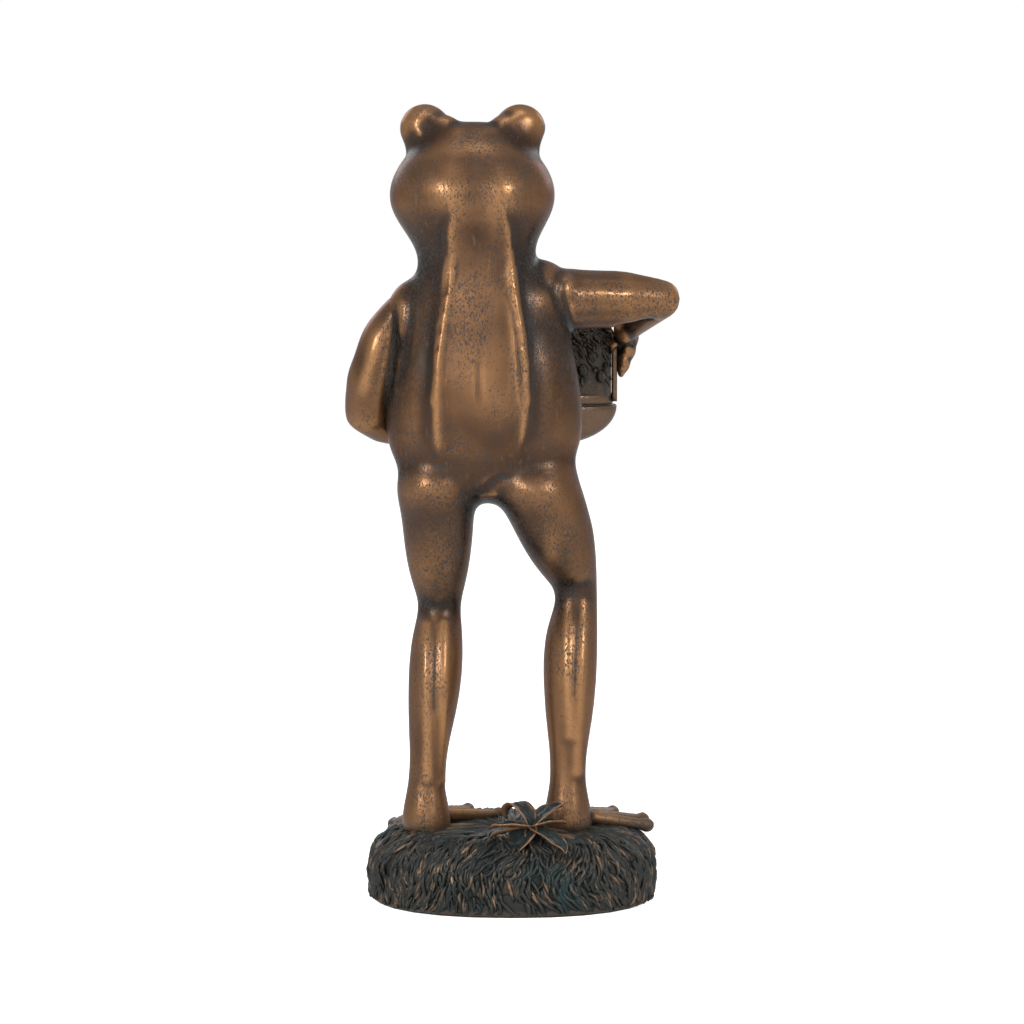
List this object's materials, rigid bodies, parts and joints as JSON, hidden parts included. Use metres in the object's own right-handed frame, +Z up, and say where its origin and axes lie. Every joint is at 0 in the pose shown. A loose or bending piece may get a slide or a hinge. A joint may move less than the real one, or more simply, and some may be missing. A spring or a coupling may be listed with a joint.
{
  "type": "frog figurine",
  "caption": "Standing frog figurine in a bronze finish that holds a hoop-handled basket of flowers, on an oval base covered in grass.",
  "frame": {"origin": "on the ground, under the middle of the oval base, at the underside of the felt", "axes": "+Z up, +Y the way the frog faces, +X to the frog's right side"},
  "size_m": [0.1282, 0.1203, 0.3015],
  "materials": {
    "bronze": "bronze-filled resin, rubbed bright on the high places, with dark streaks",
    "patina": "bronze-filled resin under a dark green-black patina, with bronze edges",
    "felt": "thin felt",
    "steel": "plain zinc-plated steel"
  },
  "bodies": {
    "root": {"torso": "bronze", "left_leg": "bronze", "right_leg": "bronze", "left_arm": "bronze", "right_arm": "bronze", "basket_bowl": "bronze", "basket_handle": "bronze", "basket_flowers": "patina", "base_mound": "patina", "leaf_spray": "patina", "felt_base": "felt", "left_leg_stud": "steel", "right_leg_stud": "steel", "stud_washers": "steel", "stud_nuts": "steel", "left_hip_key": "steel", "right_hip_key": "steel", "left_shoulder_key": "steel", "right_shoulder_key": "steel", "basket_key": "steel"}
  },
  "joints": []
}
